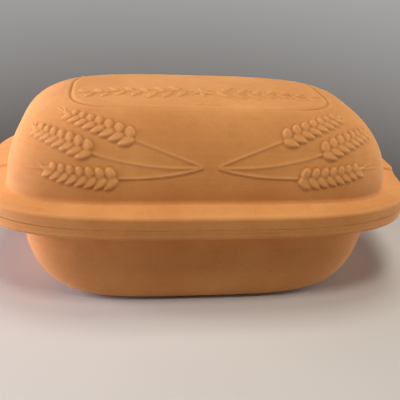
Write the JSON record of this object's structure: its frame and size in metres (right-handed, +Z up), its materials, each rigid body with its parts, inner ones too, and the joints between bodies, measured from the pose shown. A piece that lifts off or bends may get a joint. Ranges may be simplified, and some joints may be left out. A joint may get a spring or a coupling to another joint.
{
  "type": "covered casserole dish",
  "caption": "Covered clay casserole dish: a deep base dish with a broad flat rim and rounded walls, and a separate domed lid with a locating lip and end grip lugs.",
  "frame": {"origin": "centre of the flat face that the base dish rests on", "axes": "+X along the dish, +Y across it, +Z up through the lid"},
  "size_m": [0.349, 0.205, 0.1519],
  "materials": {
    "terracotta": "unglazed fired red clay, matt, fine grained, with small pits and faint wiping streaks"
  },
  "bodies": {
    "dish_body": {"base_dish": "terracotta"},
    "lid_body": {"lid": "terracotta"}
  },
  "joints": [
    {"name": "lid_lift", "type": "slide", "parent": "dish_body", "child": "lid_body", "axis": [0, 0, 1], "range_m": [0, 0.16]}
  ]
}
